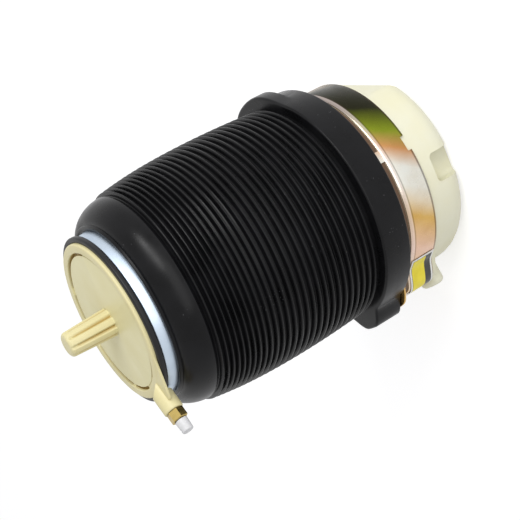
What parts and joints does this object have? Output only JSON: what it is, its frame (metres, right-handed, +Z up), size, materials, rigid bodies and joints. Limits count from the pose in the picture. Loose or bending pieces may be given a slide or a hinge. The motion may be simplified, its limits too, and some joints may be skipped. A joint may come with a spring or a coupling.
{
  "type": "air bellows actuator",
  "caption": "Rear air spring: moulded cap with a splined pin and an air port, corrugated dust boot, sheet steel retaining ring and a moulded piston that carries a rolling rubber sleeve.",
  "frame": {"origin": "centre of the flat underside of the piston, on the spring's axis", "axes": "+Z up the spring's axis, out of the cap; the air port points along -X"},
  "size_m": [0.1706, 0.162, 0.2717],
  "materials": {
    "cream_nylon": "moulded, satin",
    "black_rubber": "satin",
    "aluminium": "satin",
    "chromated_steel": "yellow chromate over zinc",
    "brass": "turned",
    "white_plastic": "translucent white",
    "foam_rubber": "matt, closed-cell foam",
    "label_film": "bare sheet"
  },
  "bodies": {
    "piston": {"piston_base": "cream_nylon", "retaining_ring": "chromated_steel", "label_sheet": "label_film", "boot_retainer": "black_rubber", "piston_barrel": "cream_nylon", "piston_crown": "cream_nylon", "lower_crimp_ring": "aluminium", "bump_stop": "foam_rubber", "bump_stop_stud": "chromated_steel", "dust_boot": "black_rubber", "air_sleeve": "black_rubber"},
    "cap": {"top_cap": "cream_nylon", "top_crimp_ring": "aluminium", "guide_tube": "aluminium", "port_union": "brass", "union_seal": "black_rubber", "tube_seal": "black_rubber", "grip_ring": "brass", "residual_valve": "black_rubber"},
    "plug": {"transport_plug": "white_plastic"}
  },
  "joints": [
    {"name": "spring_stroke", "type": "slide", "parent": "piston", "child": "cap", "axis": [0, 0, 1], "range_m": [-0.052, 0.02], "stiffness_N_per_m": 4000, "springref_m": 0.001, "deforming": ["dust_boot", "air_sleeve"]},
    {"name": "plug_pull", "type": "slide", "parent": "cap", "child": "plug", "axis": [-1, 0, 0], "range_m": [0, 0.025]}
  ]
}
